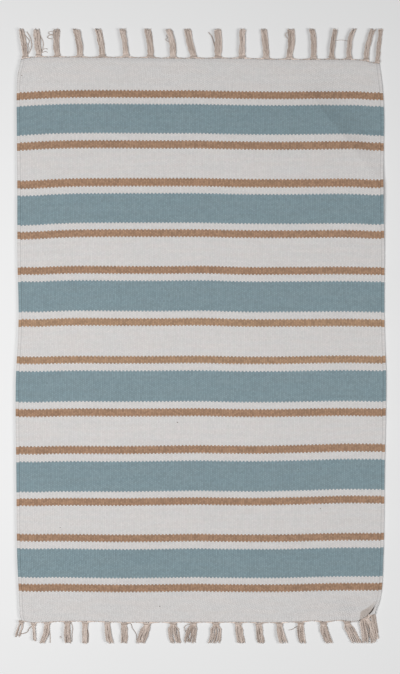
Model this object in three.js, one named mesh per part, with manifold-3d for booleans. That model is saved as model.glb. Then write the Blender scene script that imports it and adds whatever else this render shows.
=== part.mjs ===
// A small flat-woven cotton kilim, lying flat, its warp ends knotted into tassels at both ends.
//
// Millimetres. +X runs across the width, +Y along the length and +Z up. The origin is the
// middle of the rug, on the surface that the rug lies on.

import * as THREE from "three";
import Module from "manifold-3d";

const wasm = await Module();
wasm.setup();

const { clamp, lerp, smoothstep } = THREE.MathUtils;

// The cloth: half its width, its two ends along Y, its thickness, the rounding of its edges,
// and the selvages, where the wefts turn round a bundle of outer warps.
const HALF_WIDTH = 300;
const TOP_END = 455.5;
const BOTTOM_END = -467;
const CLOTH_THICKNESS = 3;
const EDGE_ROUND = 0.9;
const SELVAGE_WIDTH = 5;
const SELVAGE_RISE = 0.4;

// How far each side edge wanders from straight, at places along the length.
const SIDES = [
  { y: -467, left: 7, right: -17 },
  { y: -458, left: 4, right: -16 },
  { y: -448, left: 3.4, right: -13.6 },
  { y: -436, left: 2.7, right: -7.8 },
  { y: -420, left: 2.1, right: -4.4 },
  { y: -400, left: 1.1, right: -2.4 },
  { y: -370, left: -0.4, right: -1.4 },
  { y: -320, left: -1.3, right: 0 },
  { y: -216, left: -2.1, right: 1.1 },
  { y: -112, left: -3.2, right: 3.2 },
  { y: -60, left: -2.5, right: 3.5 },
  { y: -7, left: 0.6, right: 1.5 },
  { y: 45, left: 1.8, right: 0.6 },
  { y: 124, left: -0.2, right: 0.8 },
  { y: 255, left: -0.5, right: -1.2 },
  { y: 360, left: -1.4, right: 0.1 },
  { y: 402, left: -1.5, right: -2.1 },
  { y: 422, left: -0.7, right: -4.4 },
  { y: 435, left: 1.3, right: -6 },
  { y: 446, left: 4.2, right: -7.2 },
  { y: 456, left: 5.8, right: -6.8 },
];

// How far each end edge wanders from straight, at places across the width.
const ENDS = [
  { x: -296, top: -1.8, bottom: 3 },
  { x: -288, top: -0.6, bottom: 0.4 },
  { x: -275, top: 1.4, bottom: -1.6 },
  { x: -230, top: 1.6, bottom: 0.3 },
  { x: -180, top: 1, bottom: 0.5 },
  { x: -120, top: 0.8, bottom: -1.1 },
  { x: -40, top: -0.5, bottom: -0.8 },
  { x: 60, top: -0.6, bottom: -0.9 },
  { x: 110, top: -2, bottom: -1.6 },
  { x: 150, top: -2.4, bottom: -0.6 },
  { x: 185, top: -2.4, bottom: 1.3 },
  { x: 205, top: -2.2, bottom: 0 },
  { x: 229, top: -2.2, bottom: 2.4 },
  { x: 248, top: -2.6, bottom: 1 },
  { x: 258, top: -3.2, bottom: 3.4 },
  { x: 268, top: -4.4, bottom: 8.2 },
  { x: 284, top: -8, bottom: 12.4 },
  { x: 294, top: -8.8, bottom: 13.4 },
];

// Where the cloth's surface is stepped: close together at the selvages, at the crease and in
// the bottom right corner, wide apart where it lies flat.
const ACROSS_STEPS = [
  { to: -HALF_WIDTH + SELVAGE_WIDTH, steps: 2 },
  { to: 3.5, steps: 7 },
  { to: 51.5, steps: 4 },
  { to: 250, steps: 9 },
  { to: HALF_WIDTH - SELVAGE_WIDTH, steps: 6 },
  { to: HALF_WIDTH, steps: 2 },
];
const ALONG_STEPS = [
  { to: -425, steps: 6 },
  { to: -395, steps: 2 },
  { to: 235, steps: 9 },
  { to: 425, steps: 8 },
  { to: TOP_END, steps: 2 },
];

// The soft crease across the top right corner: a low ridge between two points of the cloth,
// with a wide flank towards the corner. fadeIn and fadeOutFrom are shares of its length, and
// fadeOut is the share of its height that it loses by its far end.
const CREASE = {
  from: [143, 455],
  to: [300, 256],
  height: 3,
  innerFlank: 38,
  cornerFlank: 62,
  fadeIn: 0.35,
  fadeOutFrom: 0.7,
  fadeOut: 0.4,
};

// The faint fold that runs the whole length of the cloth, from when it was stored.
const LONG_FOLD = { x: 27.5, height: 0.8, flank: 24 };

// The pucker in the bottom right corner: the cloth stands in a short bulge that falls steeply
// into a valley beside the selvage. The valley runs from the end edge up to the selvage, and
// the steep face narrows on the way.
const PUCKER = {
  from: [270, -463],
  to: [291, -431],
  height: 6,
  selvageHeight: 2,
  selvageFlank: 9,
  steepFace: 10,
  steepFaceEnd: 2,
  flank: 48,
};

// The fringe: the warps leave the cloth's edge, sweep sideways along it to the next knot and
// hang out of that knot as loose strands. Each tassel is parted from the cloth and from the
// next tassel by a small gap.
const TOP_FRINGE_END = 503.8;
const BOTTOM_FRINGE_END = -503.2;
const GAP_TO_CLOTH = 0.4;
const GAP_TO_NEIGHBOUR = 0.5;

// The swept warps: how far off the ground they start and how high they stand, how deep the
// bundle is away from the knot and at it, and how far from the knot it begins to grow.
const SWEEP = { lift: 0.3, height: 2.1, thin: 1.3, wide: 3.2, reach: 8 };
const SWEEP_STATIONS = [-1, -0.45, 0, 0.45, 1];

// The knot: how high it stands, and where it starts, is thickest and ends, counted outwards
// from the cloth's edge, with its size at each of them.
const KNOT = { lift: 0.15, height: 4.2, start: 0.9, middle: 3, end: 5.6 };
const KNOT_SIZES = { start: 0.62, middle: 1.06, end: 1 };
const KNOT_MARGIN = 0.45;
// The knot's section, as shares of its half width and of its height.
const KNOT_SECTION = [
  { x: -1, z: 0 },
  { x: 1, z: 0 },
  { x: 1, z: 0.6 },
  { x: 0.72, z: 1 },
  { x: -0.72, z: 1 },
  { x: -1, z: 0.6 },
];

// The strands: thinner and a little raised in the knot, at their full width from a share of
// their length on. They lie in two layers, the lower with the larger share of them.
const STRAND = {
  rootWidth: 1.25,
  rootLift: 0.3,
  width: 1.65,
  fullWidthFrom: 0.4,
  height: 1.6,
  start: 4.4,
  steps: 3,
};
const LAYER_GAP = 0.35;
const ROOT_PITCH = 1.7;
const LOWER_SHARE = 0.6;
const LOWER_WANDER = 0.14;
const UPPER_WANDER = 0.25;
const UPPER_SPREAD = 1.25;
const UNEVEN_TRIM = 2.4;

// The tassels from left to right. root, mid and tip are where a tassel's middle lies across
// the rug at the knot, half way out and at the trimmed end, and width is its width there.
// short is how far it ends before the others, and fork how far it parts into two locks.
const TOP_TASSELS = [
  { root: -288, mid: -290, tip: -294, width: 9.5, strands: 8 },
  { root: -265.5, mid: -267.5, tip: -269, width: 10.5, strands: 8 },
  { root: -235, mid: -237, tip: -235.5, width: 10.5, strands: 8 },
  { root: -198, mid: -199.5, tip: -204, width: 10.5, strands: 8 },
  { root: -161.5, mid: -163.5, tip: -168, width: 10, strands: 8 },
  { root: -122.5, mid: -124.7, tip: -128, width: 9, strands: 8 },
  { root: -82.3, mid: -83.3, tip: -86.5, width: 10.5, strands: 8 },
  { root: -45.8, mid: -47, tip: -52.5, width: 10, strands: 8 },
  { root: -12.2, mid: -17.8, tip: -21.2, width: 11, strands: 8 },
  { root: 28.5, mid: 28.5, tip: 28, width: 12, strands: 9 },
  { root: 67.5, mid: 67.7, tip: 68, width: 10, strands: 8 },
  { root: 107, mid: 105.5, tip: 103.8, width: 10.5, strands: 8 },
  { root: 145, mid: 148.2, tip: 148, width: 11, strands: 8 },
  { root: 184.5, mid: 185, tip: 183, width: 10, strands: 8 },
  { root: 214.4, mid: 216, tip: 219.5, width: 8.5, strands: 7 },
  { root: 242.8, mid: 243.8, tip: 250.5, width: 8.5, strands: 7 },
  { root: 270.5, mid: 274, tip: 281, width: 9, strands: 8 },
  { root: 289.3, mid: 292, tip: 294, width: 8.5, strands: 7 },
];
const BOTTOM_TASSELS = [
  { root: -291, mid: -296.5, tip: -300, width: 9, strands: 7, short: 10 },
  { root: -274, mid: -273, tip: -272.3, width: 5.5, strands: 5, short: 4 },
  { root: -251.8, mid: -254.3, tip: -258.8, width: 9.5, strands: 8 },
  { root: -218.3, mid: -218.7, tip: -217, width: 10.5, strands: 8 },
  { root: -189.5, mid: -190, tip: -190, width: 9, strands: 8 },
  { root: -153, mid: -151.5, tip: -149, width: 10.5, strands: 8 },
  { root: -125.6, mid: -125.2, tip: -125.2, width: 11.5, strands: 8 },
  { root: -88, mid: -93.8, tip: -98, width: 15.5, strands: 9 },
  { root: -45.2, mid: -44, tip: -40.8, width: 18, strands: 9 },
  { root: -12.3, mid: -15.6, tip: -17.3, width: 18, strands: 9 },
  { root: 24.5, mid: 24.7, tip: 21.8, width: 19, strands: 10 },
  { root: 61.3, mid: 63.8, tip: 66, width: 13, strands: 8 },
  { root: 95.2, mid: 96.5, tip: 99.3, width: 11.5, strands: 8 },
  { root: 128.9, mid: 131, tip: 135, width: 12, strands: 8 },
  { root: 163.4, mid: 164.2, tip: 166.6, width: 12, strands: 8 },
  { root: 200.7, mid: 203.5, tip: 209, width: 12.5, strands: 8 },
  { root: 240, mid: 246.5, tip: 253.5, width: 15, strands: 9 },
  { root: 268.5, mid: 274, tip: 277.5, width: 20, strands: 13, short: 4, fork: 4 },
];

// The golden ratio and the root of two spread whole numbers evenly over a range.
const GOLDEN = 0.6180339887;

// An even scatter from -1 to 1 that is the same for the same pair of whole numbers.
function vary(first, second) {
  const spread = first * GOLDEN + second * Math.SQRT2;
  return 2 * (spread - Math.floor(spread)) - 1;
}

// A smooth hump, 1 at 0 and flat 0 from -1 and 1 outwards.
function hump(t) {
  return Math.abs(t) < 1 ? 0.5 + 0.5 * Math.cos(Math.PI * t) : 0;
}

// A column of a table read at a place, on a smooth curve through the rows. The rows rise
// along their key column.
function readTable(rows, key, column, place) {
  const last = rows.length - 1;
  const at = clamp(place, rows[0][key], rows[last][key]);
  let i = 0;
  while (i < last - 1 && rows[i + 1][key] < at) {
    i += 1;
  }
  const slope = (k) => {
    const before = rows[Math.max(k - 1, 0)];
    const after = rows[Math.min(k + 1, last)];
    return (after[column] - before[column]) / (after[key] - before[key]);
  };
  const span = rows[i + 1][key] - rows[i][key];
  const t = (at - rows[i][key]) / span;
  const flat = lerp(rows[i][column], rows[i + 1][column], t * t * (3 - 2 * t));
  const lean = slope(i) * (1 - t) - slope(i + 1) * t;
  return flat + span * t * (1 - t) * lean;
}

function leftEdge(y) {
  return -HALF_WIDTH + readTable(SIDES, "y", "left", y);
}

function rightEdge(y) {
  return HALF_WIDTH + readTable(SIDES, "y", "right", y);
}

function bottomEdge(x) {
  return BOTTOM_END + readTable(ENDS, "x", "bottom", x);
}

function topEdge(x) {
  return TOP_END + readTable(ENDS, "x", "top", x);
}

// The stops of a run of steps, from 0 to 1 over the whole run.
function stops(start, runs) {
  const places = [start];
  for (const run of runs) {
    const from = places.at(-1);
    for (let k = 1; k <= run.steps; k += 1) {
      places.push(lerp(from, run.to, k / run.steps));
    }
  }
  const whole = places.at(-1) - start;
  return places.map((place) => (place - start) / whole);
}

// A point of the cloth in plan: across and along go from 0 to 1, and inset draws the outline in.
function clothPlace(across, along, inset) {
  const low = bottomEdge(lerp(leftEdge(BOTTOM_END), rightEdge(BOTTOM_END), across));
  const high = topEdge(lerp(leftEdge(TOP_END), rightEdge(TOP_END), across));
  const y = lerp(low + inset, high - inset, along);
  const x = lerp(leftEdge(y) + inset, rightEdge(y) - inset, across);
  return { x, y };
}

// How far along a line a point lies, from 0 to 1 between its ends, and how far to its right.
function placeByLine(line, x, y) {
  const [x0, y0] = line.from;
  const dx = line.to[0] - x0;
  const dy = line.to[1] - y0;
  const length = Math.hypot(dx, dy);
  const along = ((x - x0) * dx + (y - y0) * dy) / (length * length);
  const right = ((x - x0) * dy - (y - y0) * dx) / length;
  return { along, right };
}

// The crease dies away towards the end edge and is a little lower at the selvage. Its line
// runs down to the right, so the corner lies on its left.
function creaseLift(x, y) {
  const { along, right } = placeByLine(CREASE, x, y);
  const flank = right < 0 ? CREASE.cornerFlank : CREASE.innerFlank;
  const fadeIn = smoothstep(along, 0, CREASE.fadeIn);
  const fadeOut = 1 - CREASE.fadeOut * smoothstep(along, CREASE.fadeOutFrom, 1);
  return CREASE.height * hump(right / flank) * fadeIn * fadeOut;
}

function longFoldLift(x) {
  return LONG_FOLD.height * hump((x - LONG_FOLD.x) / LONG_FOLD.flank);
}

function puckerLift(x, y) {
  const { along, right } = placeByLine(PUCKER, x, y);
  const fade = 1 - smoothstep(along, 0, 1);
  if (right > 0) {
    return PUCKER.selvageHeight * fade * (1 - hump(right / PUCKER.selvageFlank));
  }
  const face = lerp(PUCKER.steepFace, PUCKER.steepFaceEnd, clamp(along, 0, 1));
  const beyondFace = Math.max(-right - face, 0);
  const rise = smoothstep(-right, 0, face);
  return PUCKER.height * fade * rise * hump(beyondFace / PUCKER.flank);
}

// How far the cloth stands off the surface that it lies on.
function lift(x, y) {
  return creaseLift(x, y) + longFoldLift(x) + puckerLift(x, y);
}

// The extra thickness of a selvage.
function selvageRise(x, y) {
  const fromSide = Math.min(x - leftEdge(y), rightEdge(y) - x);
  return SELVAGE_RISE * hump((fromSide - SELVAGE_WIDTH / 2) / (SELVAGE_WIDTH / 2));
}

const across = stops(-HALF_WIDTH, ACROSS_STEPS);
const along = stops(BOTTOM_END, ALONG_STEPS);

// A closed surface as a solid, its faces turned outwards.
function solidOf(positions, faces) {
  let volume = 0;
  const point = (k) => new THREE.Vector3().fromArray(positions, 3 * faces[k]);
  for (let k = 0; k < faces.length; k += 3) {
    volume += point(k).dot(point(k + 1).cross(point(k + 2)));
  }
  const triVerts = new Uint32Array(volume < 0 ? faces.toReversed() : faces);
  const vertProperties = new Float32Array(positions);
  return new wasm.Manifold(new wasm.Mesh({ numProp: 3, vertProperties, triVerts }));
}

function geometryOf(solid) {
  const mesh = solid.getMesh();
  const geometry = new THREE.BufferGeometry();
  geometry.setAttribute("position", new THREE.BufferAttribute(mesh.vertProperties, 3));
  geometry.setIndex(new THREE.BufferAttribute(mesh.triVerts, 1));
  geometry.computeVertexNormals();
  return geometry;
}

// The woven cloth: an upper and a lower surface on one grid, with a rounded rim between them.
function clothSolid() {
  const positions = [];
  const faces = [];
  const columns = across.length;
  const rows = along.length;
  const addPoint = (x, y, z) => {
    positions.push(x, y, z);
    return positions.length / 3 - 1;
  };
  const addQuad = (a, b, c, d) => faces.push(a, b, c, a, c, d);

  const surface = (height) =>
    along.map((v) =>
      across.map((u) => {
        const { x, y } = clothPlace(u, v, EDGE_ROUND);
        return addPoint(x, y, height(x, y));
      }),
    );
  const upper = surface((x, y) => lift(x, y) + CLOTH_THICKNESS + selvageRise(x, y));
  const lower = surface((x, y) => lift(x, y));
  for (let j = 0; j < rows - 1; j += 1) {
    for (let i = 0; i < columns - 1; i += 1) {
      addQuad(upper[j][i], upper[j][i + 1], upper[j + 1][i + 1], upper[j + 1][i]);
      addQuad(lower[j][i], lower[j + 1][i], lower[j + 1][i + 1], lower[j][i + 1]);
    }
  }

  const rim = [];
  const addToRim = (i, j) => {
    const { x, y } = clothPlace(across[i], along[j], 0);
    const middle = addPoint(x, y, lift(x, y) + CLOTH_THICKNESS / 2);
    rim.push({ upper: upper[j][i], middle, lower: lower[j][i] });
  };
  for (let i = 0; i < columns - 1; i += 1) {
    addToRim(i, 0);
  }
  for (let j = 0; j < rows - 1; j += 1) {
    addToRim(columns - 1, j);
  }
  for (let i = columns - 1; i > 0; i -= 1) {
    addToRim(i, rows - 1);
  }
  for (let j = rows - 1; j > 0; j -= 1) {
    addToRim(0, j);
  }
  rim.forEach((here, k) => {
    const next = rim[(k + 1) % rim.length];
    addQuad(here.upper, here.middle, next.middle, next.upper);
    addQuad(here.middle, here.lower, next.lower, next.middle);
  });
  return solidOf(positions, faces);
}

// A solid through a row of like sections, each a ring of points, with flat ends.
function loft(sections) {
  const ring = sections[0].length;
  const positions = sections.flat().flatMap((p) => [p.x, p.y, p.z]);
  const faces = [];
  for (let k = 0; k < sections.length - 1; k += 1) {
    for (let i = 0; i < ring; i += 1) {
      const a = k * ring + i;
      const b = k * ring + ((i + 1) % ring);
      faces.push(a, b, b + ring, a, b + ring, a + ring);
    }
  }
  const end = ring * (sections.length - 1);
  for (let i = 1; i < ring - 1; i += 1) {
    faces.push(0, i + 1, i, end, end + i, end + i + 1);
  }
  return solidOf(positions, faces);
}

// The place along Y of an end edge of the cloth, on the straight lines between its stops.
function edgeLine(atTop) {
  const points = across.map((u) => clothPlace(u, atTop ? 1 : 0, 0));
  const read = (x) => {
    const after = points.findIndex((p) => p.x > x);
    const i = after < 0 ? points.length - 2 : Math.max(after - 1, 0);
    const a = points[i];
    const b = points[i + 1];
    return lerp(a.y, b.y, clamp((x - a.x) / (b.x - a.x), 0, 1));
  };
  return { read, left: points[0].x, right: points.at(-1).x };
}

// The warps of one tassel, swept along the cloth's edge from both sides to the knot. In a
// tassel's own frame x runs across it and y outwards from the cloth's edge at its root.
function sweptWarps(left, right, edge) {
  return loft(
    SWEEP_STATIONS.map((share) => {
      const x = share < 0 ? -share * left : share * right;
      const depth = lerp(SWEEP.thin, SWEEP.wide, hump(x / SWEEP.reach));
      const inner = edge(x) + GAP_TO_CLOTH;
      const base = SWEEP.lift;
      const top = SWEEP.lift + SWEEP.height;
      return [
        new THREE.Vector3(x, inner, base),
        new THREE.Vector3(x, inner + depth, base),
        new THREE.Vector3(x, inner + depth, top),
        new THREE.Vector3(x, inner, top),
      ];
    }),
  );
}

function knotSolid(halfWidth) {
  const section = (stage) =>
    KNOT_SECTION.map(({ x, z }) => {
      const size = KNOT_SIZES[stage];
      return new THREE.Vector3(x * halfWidth * size, KNOT[stage], KNOT.lift + z * KNOT.height * size);
    });
  return loft([section("start"), section("middle"), section("end")]);
}

// One loose strand: three sides, one of them down and level once it is out of the knot. path
// gives its middle and its width from root to tip.
function strandSolid(level, path) {
  const sections = [];
  for (let k = 0; k <= STRAND.steps; k += 1) {
    const { x, y, width } = path(k / STRAND.steps);
    const base = k > 0 ? level : level + STRAND.rootLift;
    sections.push([
      new THREE.Vector3(x - width / 2, y, base),
      new THREE.Vector3(x + width / 2, y, base),
      new THREE.Vector3(x, y, base + STRAND.height),
    ]);
  }
  return loft(sections);
}

// The strands of one layer side by side, from the knot to their own trimmed ends.
function strandLayer(row, number, tipPitch, layer) {
  const strands = [];
  for (let k = 0; k < layer.count; k += 1) {
    const slot = (k - (layer.count - 1) / 2) * layer.spread;
    const own = vary(number, k + layer.first);
    const trim = UNEVEN_TRIM * (0.5 + 0.5 * vary(k + layer.first, number));
    const end = row.reach - (row.short ?? 0) - trim;
    const fork = (Math.sign(slot) * (row.fork ?? 0)) / 2;
    strands.push(
      strandSolid(layer.level, (s) => {
        const centre = 2 * s * (1 - s) * (2 * row.mid - 0.5 * row.tip) + s * s * row.tip;
        const fan = slot * lerp(ROOT_PITCH, tipPitch, smoothstep(s, 0, 1));
        const wander = layer.wander * own * Math.sin(2 * Math.PI * s);
        return {
          x: centre + fan + fork * s + wander,
          y: lerp(STRAND.start, end, s),
          width: lerp(STRAND.rootWidth, STRAND.width, smoothstep(s, 0, STRAND.fullWidthFrom)),
        };
      }),
    );
  }
  return strands;
}

function tasselSolid(row, number, left, right, edge) {
  const lower = Math.ceil(row.strands * LOWER_SHARE);
  const upper = row.strands - lower;
  const layers = [
    { count: lower, level: 0, wander: LOWER_WANDER, spread: 1, first: 0 },
    {
      count: upper,
      level: STRAND.height + LAYER_GAP,
      wander: UPPER_WANDER,
      spread: UPPER_SPREAD,
      first: lower,
    },
  ];
  const halfWidth = ((lower - 1) * ROOT_PITCH + STRAND.rootWidth) / 2 + KNOT_MARGIN;
  const tipPitch = (row.width - STRAND.width) / (lower - 1);
  let solid = sweptWarps(left, right, edge).add(knotSolid(halfWidth));
  for (const strand of layers.flatMap((layer) => strandLayer(row, number, tipPitch, layer))) {
    solid = solid.add(strand);
  }
  return solid;
}

function clothFinish() {
  return new THREE.MeshStandardMaterial({ color: "#cdcac7", roughness: 0.95, metalness: 0 });
}

function warpFinish() {
  return new THREE.MeshStandardMaterial({ color: "#b9a89b", roughness: 0.9, metalness: 0 });
}

function namedMesh(name, solid, finish) {
  const mesh = new THREE.Mesh(geometryOf(solid), finish);
  mesh.name = name;
  return mesh;
}

// All the tassels of one end, in a group that is turned so that its +Y points away from the
// cloth.
function fringe(name, rows, atTop, fringeEnd) {
  const out = atTop ? 1 : -1;
  const line = edgeLine(atTop);
  const group = new THREE.Group();
  group.rotation.z = atTop ? 0 : Math.PI;
  rows.forEach((row, k) => {
    const { root } = row;
    const edgeY = line.read(root);
    const halfGap = GAP_TO_NEIGHBOUR / 2;
    const from = k > 0 ? (rows[k - 1].root + root) / 2 + halfGap : line.left;
    const to = k < rows.length - 1 ? (root + rows[k + 1].root) / 2 - halfGap : line.right;
    const own = {
      ...row,
      mid: out * (row.mid - root),
      tip: out * (row.tip - root),
      reach: out * (fringeEnd - edgeY),
    };
    const ends = [out * (from - root), out * (to - root)].sort((a, b) => a - b);
    const edge = (x) => out * (line.read(root + out * x) - edgeY);
    const number = String(k + 1).padStart(2, "0");
    const solid = tasselSolid(own, k + 1, ends[0], ends[1], edge);
    const mesh = namedMesh(`${name}_${number}`, solid, warpFinish());
    mesh.position.set(out * root, out * edgeY, 0);
    group.add(mesh);
  });
  return group;
}

const kilim = new THREE.Group();
kilim.add(namedMesh("cloth", clothSolid(), clothFinish()));
kilim.add(fringe("top_tassel", TOP_TASSELS, true, TOP_FRINGE_END));
kilim.add(fringe("bottom_tassel", BOTTOM_TASSELS, false, BOTTOM_FRINGE_END));

export default kilim;
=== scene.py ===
# %% [markdown]
# # A small flat-woven kilim with knotted tassels
#
# A kilim has no pile. Strong warps run along its length, and the wefts that go over and under
# them are beaten down so hard that they hide the warps: every warp becomes a rib, and every
# pass of a weft over a rib shows as a bead. The maker changes the weft's colour for a stripe.
# At both ends the warps that are left over are drawn together and knotted into tassels.
#
# The solids of the cloth and the tassels are already packed. This lesson dresses them, in the
# order in which the rug is made: first the studio, then the cloth, then the warp ends.

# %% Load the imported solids
import math

import bpy
import numpy as np
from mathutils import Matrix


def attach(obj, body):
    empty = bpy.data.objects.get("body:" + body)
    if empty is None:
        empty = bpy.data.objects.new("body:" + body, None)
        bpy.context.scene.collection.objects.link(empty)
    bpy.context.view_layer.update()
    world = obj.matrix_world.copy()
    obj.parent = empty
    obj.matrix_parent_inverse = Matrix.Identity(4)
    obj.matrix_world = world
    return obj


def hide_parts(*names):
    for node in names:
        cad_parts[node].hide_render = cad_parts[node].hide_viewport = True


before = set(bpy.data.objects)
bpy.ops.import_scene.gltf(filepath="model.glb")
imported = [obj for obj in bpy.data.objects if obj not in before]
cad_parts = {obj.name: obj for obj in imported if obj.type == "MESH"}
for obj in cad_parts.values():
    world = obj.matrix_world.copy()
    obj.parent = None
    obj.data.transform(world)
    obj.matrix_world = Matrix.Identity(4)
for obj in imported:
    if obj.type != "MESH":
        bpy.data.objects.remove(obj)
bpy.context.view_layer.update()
scene = bpy.context.scene
MM = 0.001
print("solids:", len(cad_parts))

# %% [markdown]
# ## The camera
#
# The rug is seen from straight above, so that its outline is true to scale. A long lens a good
# way up keeps the edges from leaning. The lens follows from the height and from how much of
# the floor the long side of the picture takes in, which is easier to reason about than a lens
# chosen by eye.

# %% Camera
CAMERA_HEIGHT = 3.0
CAMERA_OVER = (-0.0012, -0.0012)
PICTURE_LENGTH = 1.1033
CLOTH_TOP = 0.003

camera = bpy.data.objects.new("camera", bpy.data.cameras.new("camera"))
camera.location = (*CAMERA_OVER, CLOTH_TOP + CAMERA_HEIGHT)
camera.data.lens = camera.data.sensor_width * CAMERA_HEIGHT / PICTURE_LENGTH
scene.collection.objects.link(camera)
scene.camera = camera
print("lens:", round(camera.data.lens, 1), "mm")

# %% [markdown]
# ## The studio
#
# Cloth shows its ribs and folds only if light comes in from the sides. Two large soft lamps do
# that. The left one hangs nearly over the rug, near enough for the light to fall off a little
# towards the edges. The right one stands low and further off, so that each tassel casts a soft
# shadow to its left. An even pale sky fills what they leave dark. The view is set to Standard,
# so that a surface comes out in the colour that it was given.

# %% Sky and view
SKY_COLOUR = (0.97, 0.985, 1.0, 1.0)
SKY_STRENGTH = 0.085

scene.view_settings.view_transform = "Standard"
scene.world = bpy.data.worlds.new("studio sky")
scene.world.use_nodes = True
sky = scene.world.node_tree.nodes["Background"]
sky.inputs["Color"].default_value = SKY_COLOUR
sky.inputs["Strength"].default_value = SKY_STRENGTH

# %% Lamps
LAMPS = [
    {"name": "left lamp", "place": (-0.95, -0.12, 1.9), "size": (0.9, 1.1), "watts": 38.4},
    {"name": "right lamp", "place": (2.85, -0.45, 1.85), "size": (1.2, 1.2), "watts": 65},
]

for row in LAMPS:
    lamp = bpy.data.objects.new(row["name"], bpy.data.lights.new(row["name"], "AREA"))
    lamp.data.shape = "RECTANGLE"
    lamp.data.size, lamp.data.size_y = row["size"]
    lamp.data.energy = row["watts"]
    lamp.location = row["place"]
    lamp.rotation_euler = (-lamp.location).to_track_quat("-Z", "Y").to_euler()
    lamp.visible_camera = False
    scene.collection.objects.link(lamp)
print("lamps:", len(LAMPS))

# %% [markdown]
# ## A small kit for materials
#
# Every finish here is worked out by nodes. Written out in full, a tree of nodes is long and
# hard to read. So the first class stands for a value that nodes work out, and adding or
# multiplying two such values puts in the node that does it. The second class gives the other
# kinds of node a short call each. A finish then reads like a sum.


# %% Values worked out by nodes
def node_for(operation):
    """What an operator does to a value: it puts in the maths node for it."""
    return lambda value, *others: value.finish.maths(operation, value, *others)


class NodeValue:
    """A number, a place or a colour that nodes work out."""

    def __init__(self, finish, socket):
        self.finish = finish
        self.socket = socket

    def __rsub__(self, other):
        return self.finish.maths("SUBTRACT", other, self)

    __add__ = __radd__ = node_for("ADD")
    __sub__ = node_for("SUBTRACT")
    __mul__ = __rmul__ = node_for("MULTIPLY")
    __truediv__ = node_for("DIVIDE")
    __mod__ = node_for("FLOORED_MODULO")
    __pow__ = node_for("POWER")
    __abs__ = node_for("ABSOLUTE")
    __floor__ = node_for("FLOOR")
    __lt__ = node_for("LESS_THAN")


def between(share, low, high):
    """Goes from low to high while the share goes from 0 to 1."""
    return share * (high - low) + low


# %% Finish kit
class Finish:
    """A material whose pattern is worked out by nodes."""

    def __init__(self, name):
        self.material = bpy.data.materials.new(name)
        self.material.use_nodes = True
        self.nodes = self.material.node_tree.nodes
        self.links = self.material.node_tree.links

    def put(self, socket, value):
        if isinstance(value, NodeValue):
            self.links.new(value.socket, socket)
        elif socket.type == "VECTOR":
            socket.default_value = value[:3]
        else:
            socket.default_value = value

    def node(self, kind, inputs, output=0, **settings):
        """Puts in a node and gives one of its outputs."""
        made = self.nodes.new(kind)
        for name, value in settings.items():
            setattr(made, name, value)
        for name, value in inputs.items():
            self.put(made.inputs[name], value)
        return NodeValue(self, made.outputs[output])

    def maths(self, operation, *values):
        return self.node("ShaderNodeMath", dict(enumerate(values)), operation=operation)

    def vectors(self, operation, inputs, output=0):
        return self.node("ShaderNodeVectorMath", inputs, output, operation=operation)

    def reading(self, name):
        """A number that the mesh holds at its points."""
        return self.node("ShaderNodeAttribute", {}, "Fac", attribute_name=name)

    def place(self):
        return self.node("ShaderNodeTexCoord", {}, "Object")

    def coordinate(self, axis):
        return self.node("ShaderNodeSeparateXYZ", {"Vector": self.place()}, axis)

    def point(self, x, y):
        return self.node("ShaderNodeCombineXYZ", {"X": x, "Y": y})

    def noise(self, at, scale, detail=3.0):
        """A soft noise from 0 to 1."""
        inputs = {"Vector": at, "Scale": scale, "Detail": detail}
        return self.node("ShaderNodeTexNoise", inputs, "Fac")

    def chance(self, at):
        """Another even number from 0 to 1 for each different place."""
        return self.node("ShaderNodeTexWhiteNoise", {"Vector": at}, "Value")

    def ease(self, value, low, high):
        """Rises softly from 0 to 1 while the value goes from low to high."""
        inputs = {"Value": value, "From Min": low, "From Max": high}
        return self.node("ShaderNodeMapRange", inputs, interpolation_type="SMOOTHSTEP")

    def mix(self, share, first, second):
        """A colour that goes from the first to the second while the share goes from 0 to 1."""
        return self.node("ShaderNodeMix", {0: share, 6: first, 7: second}, 2, data_type="RGBA")

    def shade(self, colour, factor):
        """A colour made lighter or darker by a factor."""
        return self.vectors("SCALE", {"Vector": colour, "Scale": factor})

    def steps(self, share, stops):
        """One colour after another, each from its stop on, with hard changes."""
        made = self.nodes.new("ShaderNodeValToRGB")
        self.put(made.inputs["Fac"], share)
        made.color_ramp.interpolation = "CONSTANT"
        elements = made.color_ramp.elements
        elements[0].color = stops[0][1]
        elements[1].position, elements[1].color = stops[1]
        for position, colour in stops[2:]:
            elements.new(position).color = colour
        return NodeValue(self, made.outputs[0])

    def surface(self, values, relief=None, depth=0.0):
        """Sets the shader, with a relief from a height of 0 to 1, depth metres deep."""
        inputs = self.nodes["Principled BSDF"].inputs
        for name, value in values.items():
            self.put(inputs[name], value)
        if relief:
            bump = self.node("ShaderNodeBump", {"Height": relief, "Distance": depth})
            self.put(inputs["Normal"], bump)


def colour(red, green, blue):
    """A colour from 0 to 255, as a picture gives it, in the numbers that light adds up in."""
    parts = (part / 255 for part in (red, green, blue))
    linear = [((part + 0.055) / 1.055) ** 2.4 for part in parts]
    return (*linear, 1.0)


# %% [markdown]
# ## The floor
#
# The floor is not part of the rug. It is one large pale sheet that catches the soft shadows,
# with a slight unevenness so that it doesn't look like an empty picture.

# %% Floor
FLOOR_REACH = 6.0
FLOOR_COLOUR = colour(224, 224, 224)
FLOOR_PATCHES = 3.0
FLOOR_TONES = (0.99, 1.01)

floor_mesh = bpy.data.meshes.new("floor")
corners = [(-1, -1), (1, -1), (1, 1), (-1, 1)]
floor_points = [(x * FLOOR_REACH, y * FLOOR_REACH, 0) for x, y in corners]
floor_mesh.from_pydata(floor_points, [], [(0, 1, 2, 3)])
floor = bpy.data.objects.new("floor", floor_mesh)
scene.collection.objects.link(floor)

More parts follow.
